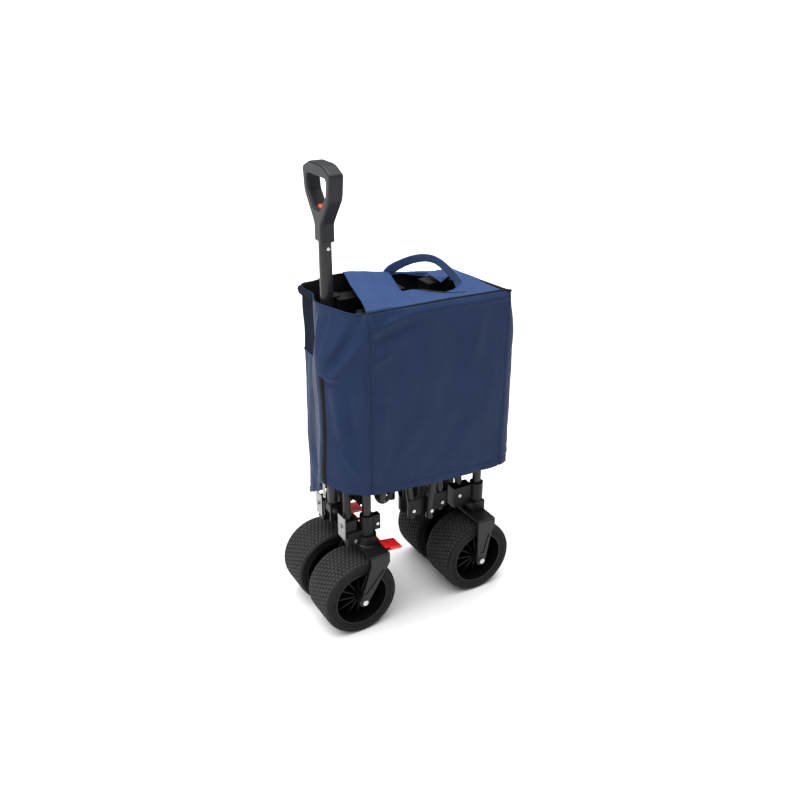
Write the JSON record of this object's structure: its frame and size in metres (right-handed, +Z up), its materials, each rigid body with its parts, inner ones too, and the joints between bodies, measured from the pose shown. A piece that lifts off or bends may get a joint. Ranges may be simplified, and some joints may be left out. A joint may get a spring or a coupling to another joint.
{
  "type": "folded wide-wheel beach cart",
  "caption": "Quad-folding beach cart stood upright on wide soft wheels in its cloth storage cover, with a telescopic D-grip pull handle, swivelling front wheels and red parking brakes.",
  "frame": {"origin": "on the floor, under the middle of the four wheels (bottom centre of the bounding box)", "axes": "-X is the cart's front (pull handle and swivelling wheels), +X its rear, -Y its left side, +Z up"},
  "size_m": [0.5274, 0.288, 1.107],
  "materials": {
    "tyre": "fine-blocked soft tyre",
    "rim": "moulded black plastic",
    "bush": "natural nylon",
    "fork": "satin black powder coat on pressed steel",
    "casting": "glass-filled black nylon",
    "tube": "charcoal powder coat",
    "pole": "charcoal powder coat",
    "bolt": "bright zinc plate",
    "plate": "bare zinc-plated sheet",
    "brake": "red moulding",
    "grip": "fine-textured charcoal moulding",
    "button": "orange moulding",
    "spring": "spring wire",
    "screw": "black oxide",
    "cover": "coated navy polyester, plain weave",
    "strap": "blue webbing",
    "bed": "folded dark polyester",
    "zip": "black coil zip",
    "zip_metal": "nickel plate"
  },
  "bodies": {
    "frame": {"corner_post_front_left": "tube", "corner_post_front_right": "tube", "corner_post_rear_left": "tube", "corner_post_rear_right": "tube", "knuckle_front_left": "casting", "knuckle_front_right": "casting", "knuckle_rear_left": "casting", "knuckle_rear_right": "casting", "fork_rear_left": "fork", "fork_rear_right": "fork", "axle_bolts_rear": "bolt", "upper_brackets": "casting", "mid_brackets": "casting", "side_bars_left": "tube", "side_bars_right": "tube", "end_bars_front": "tube", "end_bars_rear": "tube", "rivets": "bolt", "front_plates": "plate", "floor_linkage": "casting", "bed_fabric": "bed", "handle_bracket": "fork", "handle_pivot_bolt": "bolt"},
    "handle": {"handle_foot": "casting", "pole_lower": "pole"},
    "handle_upper": {"pole_upper": "pole", "grip_front": "grip", "grip_rear": "grip", "grip_screws": "screw", "button_spring": "spring"},
    "release": {"release_button": "button"},
    "snap": {"snap_button": "bolt"},
    "cover": {"cover_shell": "cover", "cover_flap": "cover", "zip_tape": "zip", "carry_strap": "strap"},
    "zip_slider": {"zip_slider": "zip_metal"},
    "zip_pull": {"zip_pull": "zip_metal"},
    "caster_left": {"fork_front_left": "fork", "caster_stem_left": "bolt", "axle_bolt_front_left": "bolt", "brake_pin_left": "bolt"},
    "brake_left": {"brake_pedal_left": "brake"},
    "caster_right": {"fork_front_right": "fork", "caster_stem_right": "bolt", "axle_bolt_front_right": "bolt", "brake_pin_right": "bolt"},
    "brake_right": {"brake_pedal_right": "brake"},
    "wheel_front_left": {"tyre_front_left": "tyre", "rim_front_left": "rim", "wheel_bushes_front_left": "bush"},
    "wheel_front_right": {"tyre_front_right": "tyre", "rim_front_right": "rim", "wheel_bushes_front_right": "bush"},
    "wheel_rear_left": {"tyre_rear_left": "tyre", "rim_rear_left": "rim", "wheel_bushes_rear_left": "bush"},
    "wheel_rear_right": {"tyre_rear_right": "tyre", "rim_rear_right": "rim", "wheel_bushes_rear_right": "bush"}
  },
  "joints": [
    {"name": "caster_swivel_left", "type": "hinge", "parent": "frame", "child": "caster_left", "pos_m": [-0.126, -0.0735, 0.214], "axis": [0, 0, 1], "range_deg": [-6, 95]},
    {"name": "brake_press_left", "type": "hinge", "parent": "caster_left", "child": "brake_left", "pos_m": [-0.0935, -0.0735, 0.205], "axis": [0, 1, 0], "range_deg": [0, 18]},
    {"name": "caster_swivel_right", "type": "hinge", "parent": "frame", "child": "caster_right", "pos_m": [-0.126, 0.0735, 0.214], "axis": [0, 0, 1], "range_deg": [-95, 6]},
    {"name": "brake_press_right", "type": "hinge", "parent": "caster_right", "child": "brake_right", "pos_m": [-0.0935, 0.0735, 0.205], "axis": [0, 1, 0], "range_deg": [0, 18]},
    {"name": "wheel_spin_front_left", "type": "hinge", "parent": "caster_left", "child": "wheel_front_left", "pos_m": [-0.1685, -0.0735, 0.09525], "axis": [0, 1, 0], "continuous": true},
    {"name": "wheel_spin_front_right", "type": "hinge", "parent": "caster_right", "child": "wheel_front_right", "pos_m": [-0.1685, 0.0735, 0.09525], "axis": [0, 1, 0], "continuous": true},
    {"name": "wheel_spin_rear_left", "type": "hinge", "parent": "frame", "child": "wheel_rear_left", "pos_m": [0.1685, -0.0735, 0.09525], "axis": [0, 1, 0], "continuous": true},
    {"name": "wheel_spin_rear_right", "type": "hinge", "parent": "frame", "child": "wheel_rear_right", "pos_m": [0.1685, 0.0735, 0.09525], "axis": [0, 1, 0], "continuous": true},
    {"name": "handle_tilt", "type": "hinge", "parent": "frame", "child": "handle", "pos_m": [-0.182, 0, 0.29], "axis": [0, -1, 0], "range_deg": [0, 1]},
    {"name": "handle_telescope", "type": "slide", "parent": "handle", "child": "handle_upper", "axis": [0, 0, 1], "range_m": [0, 0.3]},
    {"name": "release_press", "type": "slide", "parent": "handle_upper", "child": "release", "axis": [0, 0, -1], "range_m": [0, 0.004], "stiffness_N_per_m": 300, "springref_m": -0.003, "deforming": ["button_spring"]},
    {"name": "snap_press", "type": "slide", "parent": "handle", "child": "snap", "axis": [0, 1, 0], "range_m": [0, 0.0014], "stiffness_N_per_m": 400, "springref_m": -0.002},
    {"name": "cover_lift", "type": "slide", "parent": "frame", "child": "cover", "axis": [0, 0, 1], "range_m": [0, 1.18]},
    {"name": "zip_slide", "type": "slide", "parent": "cover", "child": "zip_slider", "axis": [0, 0, 1], "range_m": [0, 0.25]},
    {"name": "zip_pull_swing", "type": "hinge", "parent": "zip_slider", "child": "zip_pull", "pos_m": [-0.22887, -0.06315, 0.3995], "axis": [-0.3021, 0.9533, 0], "range_deg": [0, 100]}
  ]
}
